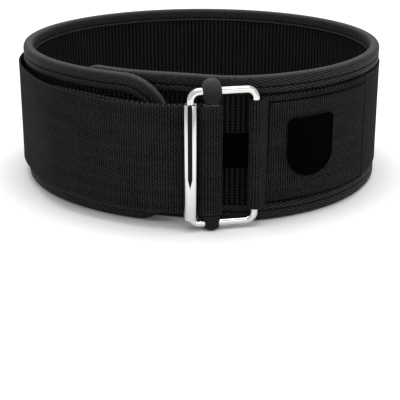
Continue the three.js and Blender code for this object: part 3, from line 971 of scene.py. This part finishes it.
cap_rubber = make_moulded(
    "cap_rubber", dark=(0.0006, 0.0008, 0.0007), light=(0.04, 0.044, 0.042), scale=500.0,
    rough=(0.35, 0.55), depth=0.00005, gloss=0.1, rise=(0.0915, 0.105),
)
foot_rubber = make_moulded(
    "foot_rubber", dark=(0.002, 0.0024, 0.0022), light=(0.02, 0.0235, 0.0218), scale=500.0,
    rough=(0.45, 0.65), depth=0.00005, gloss=0.08, rise=(-0.01, 0.06),
)
# The patches take the default rise, so they too carry painted light, a little paler towards the
# top.
patch_face = make_moulded(
    "plain_patch", dark=(0.0001, 0.0001, 0.0001), light=(0.0007, 0.0007, 0.0007), scale=1500.0,
    rough=(0.6, 0.85), depth=0.00006, gloss=0.012,
)
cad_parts["slide_bar"].data.materials.clear()
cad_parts["slide_bar"].data.materials.append(steel)
hard_materials = (chrome, roller_chrome, steel, cap_rubber, foot_rubber, patch_face)
print("hard materials", [material.name for material in hard_materials])

# %% [markdown]
# ## The wire rectangle
#
# A straight rod is bent at four corners and butt welded under the roller. The mesh does the
# same: a circle is pushed along each side and spun a quarter turn at each corner, and its last
# ring is merged with its first.

# %% Buckle frame
frame_foot, frame_top = frame_centre - frame_height / 2, frame_centre + frame_height / 2
buckle_place = Matrix.Translation((*in_buckle(0, 0), 0)) @ Matrix.Rotation(frame_turn, 4, "Z")
wire = bmesh.new()
wire_start = Matrix.Translation((0, 0, frame_foot + frame_bend))
bmesh.ops.create_circle(wire, segments=28, radius=wire_diameter / 2, matrix=wire_start)
ring = wire.edges[:]
sides = [(0, 1, frame_height), (1, 0, frame_width), (0, -1, frame_height), (-1, 0, frame_width)]
corners = [
    (frame_bend, frame_top - frame_bend), (frame_width - frame_bend, frame_top - frame_bend),
    (frame_width - frame_bend, frame_foot + frame_bend), (frame_bend, frame_foot + frame_bend),
]
for (right, up, length), (corner_right, corner_up) in zip(sides, corners):
    pushed = bmesh.ops.extrude_edge_only(wire, edges=ring)["geom"]
    run = Vector((right, 0, up)) * (length - 2 * frame_bend)
    pushed_verts = [part for part in pushed if isinstance(part, bmesh.types.BMVert)]
    bmesh.ops.translate(wire, vec=run, verts=pushed_verts)
    ring = [part for part in pushed if isinstance(part, bmesh.types.BMEdge)]
    spun = bmesh.ops.spin(
        wire, geom=ring, cent=(corner_right, 0, corner_up), axis=(0, 1, 0),
        angle=math.pi / 2, steps=10,
    )["geom_last"]
    ring = [part for part in spun if isinstance(part, bmesh.types.BMEdge)]
bmesh.ops.remove_doubles(wire, verts=wire.verts, dist=0.01)
bmesh.ops.recalc_face_normals(wire, faces=wire.faces)
bmesh.ops.transform(wire, matrix=buckle_place, verts=wire.verts)
finish_piece("wire_frame", wire, chrome, ["buckle_frame"])

# %% [markdown]
# ## Roller
#
# A thin chromed tube turns freely on the left bar, so the strap runs out easily. Its profile, a
# wall with rounded ends, is spun round the bar. It rides on its own body, because it turns.

# %% Roller
def spun_profile(profile, steps):
    """A closed profile of (radius, height) places, spun round the upright axis."""
    bm = bmesh.new()
    verts = [bm.verts.new((radius, 0, height)) for radius, height in profile]
    edges = [bm.edges.new(pair) for pair in zip(verts, verts[1:])]
    bmesh.ops.spin(
        bm, geom=verts + edges, cent=(0, 0, 0), axis=(0, 0, 1),
        angle=2 * math.pi, steps=steps, use_merge=True,
    )
    bmesh.ops.remove_doubles(bm, verts=bm.verts, dist=0.005)
    bmesh.ops.recalc_face_normals(bm, faces=bm.faces)
    return bm


seat_clearance = 0.75
roller_radius = roller_diameter / 2
bore = roller_radius - roller_wall
roller_sink = math.sqrt(frame_bend**2 - (frame_bend - (roller_play - seat_clearance)) ** 2)
roller_low = frame_foot + frame_bend - roller_sink
lip = [
    (bore + 0.12, 0), (roller_radius - 0.3, 0), (roller_radius - 0.09, 0.1), (roller_radius, 0.32)
]
top_lip = [(radius, roller_length - height) for radius, height in lip[::-1]]
roller_profile = [(bore, 0.15), *lip, *top_lip, (bore, roller_length - 0.15), (bore, 0.15)]
tube = spun_profile(roller_profile, 64)
uv_map = tube.loops.layers.uv.new("flat")
for face in tube.faces:
    for loop in face.loops:
        x, y, z = loop.vert.co
        loop[uv_map].uv = (math.atan2(x, -y) * roller_radius, z)
roller_place = buckle_place @ Matrix.Translation((0, 0, roller_low))
bmesh.ops.transform(tube, matrix=roller_place, verts=tube.verts)
finish_piece("chrome_roller", tube, roller_chrome, ["roller"], body="roller")

# %% [markdown]
# ## Rubber caps
#
# The slide bar ends in two rubber caps that slip along the wires. The upper one is a bulb, and
# the lower one a block with a round foot. Each is a profile spun round and then pressed to the
# depth of the bar.

# %% Caps
bar_low = strap_low - strap_drop - clearance
bar_high = bar_low + strap_width + 2 * clearance
cap_depth_share = 0.8
bulb = [
    # share of half the width, share of the height
    (0.0, 0.0), (0.5, 0.0), (0.62, 0.015), (0.72, 0.06), (0.84, 0.16), (0.94, 0.29), (0.995, 0.43),
    (0.99, 0.55), (0.93, 0.68), (0.83, 0.79), (0.68, 0.885), (0.49, 0.95), (0.26, 0.988),
    (0.0, 1.0),
]
block = [
    (0.0, 0.0), (0.42, 0.012), (0.66, 0.045), (0.82, 0.1), (0.93, 0.18), (0.985, 0.29), (1.0, 0.42),
    (1.0, 0.85), (0.985, 0.95), (0.94, 0.99), (0.86, 1.0), (0.0, 1.0),
]


def make_cap(name, node, material, profile, low, high, width, lean=0):
    """A rubber cap between two heights, leaning by an angle about its middle."""
    bm = spun_profile([(r * width / 2, low + h * (high - low)) for r, h in profile], 40)
    bmesh.ops.scale(bm, vec=(1, cap_depth_share, 1), verts=bm.verts)
    middle = Vector((0, 0, (low + high) / 2))
    leaning = Matrix.Rotation(math.radians(lean), 3, "Y")
    bmesh.ops.rotate(bm, cent=middle, matrix=leaning, verts=bm.verts)
    cap_place = buckle_place @ Matrix.Translation((bar_place, 0, 0))
    bmesh.ops.transform(bm, matrix=cap_place, verts=bm.verts)
    return finish_piece(name, bm, material, [node])


make_cap(
    "rubber_cap_top", "cap_top", cap_rubber, bulb,
    low=bar_high + clearance, high=frame_top + 8.7, width=14.2, lean=-6,
)
make_cap(
    "rubber_cap_foot", "cap_bottom", foot_rubber, block,
    low=frame_foot - 4.6, high=bar_low - clearance, width=11.6,
)

# %% [markdown]
# ## Patches
#
# A wide patch covers the middle of the back, a small badge sits beside the buckle, and a label
# shows in the buckle's window. All three are plain here: a flat field inside a raised sewn rim.
# Each is a flat band like the strap, with rounded corners and a relief for its rim.

# %% Patches
rim_slope = 0.35


def make_patch(name, node, angle, width, height, face, thickness, radii, rim):
    """A plain patch on the wall: a field, a raised rim, and eased ends."""
    middle = along_wall(angle)
    start, stop = middle - width / 2, middle + width / 2
    low, high = (belt_height - height) / 2, (belt_height + height) / 2
    depths = np.array([0, 0.15, 0.4, 0.8, 1.3, rim, rim + rim_slope, rim + 0.8])
    bends = max(radii) * (1 - np.cos(np.radians(np.arange(6, 91, 6))))
    near = np.unique(np.concatenate([depths, bends]).round(3))
    places = np.concatenate([start + near, np.arange(start, stop, 2.0), stop - near])
    stations = np.unique(places.round(3))

    def relief(along, up, side):
        from_start, from_stop = along - start, stop - along
        top = high - corner_rise(from_start, radii[0]) - corner_rise(from_stop, radii[0])
        foot = low + corner_rise(from_start, radii[1]) + corner_rise(from_stop, radii[1])
        inset = np.minimum(np.minimum(from_start, from_stop), np.minimum(top - up, up - foot))
        eased = np.clip(1 - inset / 0.5, 0, 1) ** 2 * 0.45
        field = np.clip((inset - rim) / rim_slope, 0, 1) * 0.3
        crown = np.sin(np.clip(inset / rim, 0, 1) * np.pi) * 0.12
        raised = np.where(side > 0, crown - field, 0) * min(1, thickness)
        return -side * thickness / 2 * eased + raised

    bm = flat_band(
        wall, stations, low, high, face + clearance + thickness / 2, thickness,
        rows=int(height / 1.5), edge=0.006, corners=(*radii, *radii), relief=relief,
    )
    return finish_piece(name, bm, patch_face, [node])


strap_face_out = strap_rest + strap_thickness / 2
loop_face_out = outer_ply_rest + strap_thickness / 2
patch_height = 73
patch_thickness = 1.5
make_patch(
    "plain_back_patch", "back_patch", patch_angle, patch_width, patch_height,
    face=strap_face_out, thickness=patch_thickness, radii=(3, 3), rim=3.0,
)
make_patch(
    "plain_badge", "front_badge", -57.6, 36, 42,
    face=loop_face_out, thickness=1.5, radii=(4, 17), rim=2.2,
)
make_patch(
    "plain_label", "window_label", -79, 24, 24,
    face=half_panel, thickness=0.8, radii=(1, 1), rim=1.4,
)

# %% [markdown]
# ## Thread
#
# Each row of stitches is real thread: a small grain of thread for each stitch, laid along the
# row and bent round the loop with the cloth. There are well over a thousand, so each grain has only
# twenty faces.

# %% Stitches
def sew(bm, line, path, pitch=3.0, length=2.3, width=0.6, thick=0.44):
    """Stitches along a flat path of places: along, out and up."""
    path = np.array(path, float)
    run = np.concatenate([[0], np.cumsum(np.hypot(*np.diff(path[:, [0, 2]], axis=0).T))])
    count = int(run[-1] / pitch)
    at = (np.arange(count) + 0.5) * run[-1] / count
    reach = 0.4
    spots, before, after = (
        np.column_stack([np.interp(at + step, run, column) for column in path.T])
        for step in (0, -reach, reach)
    )
    along, out, up = spots.T
    plan = on_line(line, along, out)
    tangent = on_line(line, along + reach, out) - on_line(line, along - reach, out)
    tangent /= np.hypot(*tangent.T)[:, None]
    for (x, y), z, (tx, ty), (d_along, _, d_up) in zip(plan, up, tangent, after - before):
        thread = Vector((tx * d_along, ty * d_along, d_up)).normalized()
        outward = Vector((-ty, tx, 0))
        side = outward.cross(thread)
        axes = (thread * length / 2, side * width / 2, outward * thick / 2)
        grain = Matrix(axes).transposed().to_4x4()
        grain.translation = (x, y, z)
        bmesh.ops.create_icosphere(bm, subdivisions=1, radius=1, matrix=grain)
    return count


def rounded_box(start, stop, low, high, radius, out):
    """A flat path round a rectangle with rounded corners."""
    path = []
    corners = ((stop, high, 90), (stop, low, 0), (start, low, -90), (start, high, -180))
    for along, up, first in corners:
        middle_along = along + (radius if along == start else -radius)
        middle_up = up + (radius if up == low else -radius)
        for angle in np.radians(np.linspace(first, first - 90, 7)):
            place = middle_along + radius * math.cos(angle), middle_up + radius * math.sin(angle)
            path.append((place[0], out, place[1]))
    return path + path[:1]


threads = bmesh.new()
total = 0
stitch_out = 3.72
for out in (stitch_out, -stitch_out * inner_share):
    row_places = outline[:, :2] + stitch_depth * outline[:, 2:]
    row = np.column_stack([row_places[:, 0], np.full(len(outline), out), row_places[:, 1]])
    total += sew(threads, wall, row)
finish_piece("binding_stitches", threads, thread_cloth)

threads = bmesh.new()
row_out = loop_face_out - 0.1
loop_start, loop_stop = outer_pinch + 1.2, along_wall(loop_end_angle) + 1.4
for up in (box_low, box_high):
    total += sew(threads, wall, [(loop_stop, row_out, up), (loop_start, row_out, up)])
for along, lean in ((loop_start, box_lean), (loop_stop, 0)):
    seam = [(along - lean * (up - box_low), row_out - 0.3, up) for up in (box_low, box_high)]
    total += sew(threads, wall, seam)
sewn_run = (along_wall(seam_angle) - free_length) * 1.03
row_inset = 11
for up in (strap_low + row_inset, strap_low + strap_width - row_inset):
    distances = np.linspace(3, strap_length * 0.5, 200)
    distances = distances[distances < sewn_run]
    path = np.column_stack([distances, np.full(len(distances), 0.7), up - strap_sag(distances)])
    total += sew(threads, strap_line, path)
finish_piece("webbing_stitches", threads, thread_cloth)

threads = bmesh.new()
middle = along_wall(patch_angle)
half_row_width, half_row_height = patch_width / 2 - 4.2, patch_height / 2 - 4.2
row = rounded_box(
    middle - half_row_width, middle + half_row_width,
    belt_height / 2 - half_row_height, belt_height / 2 + half_row_height,
    radius=2, out=strap_face_out + clearance + patch_thickness - 0.2,
)
total += sew(threads, wall, row, pitch=2.6, length=2.0, width=0.5)
finish_piece("patch_stitches", threads, patch_thread)
print("stitches", total)
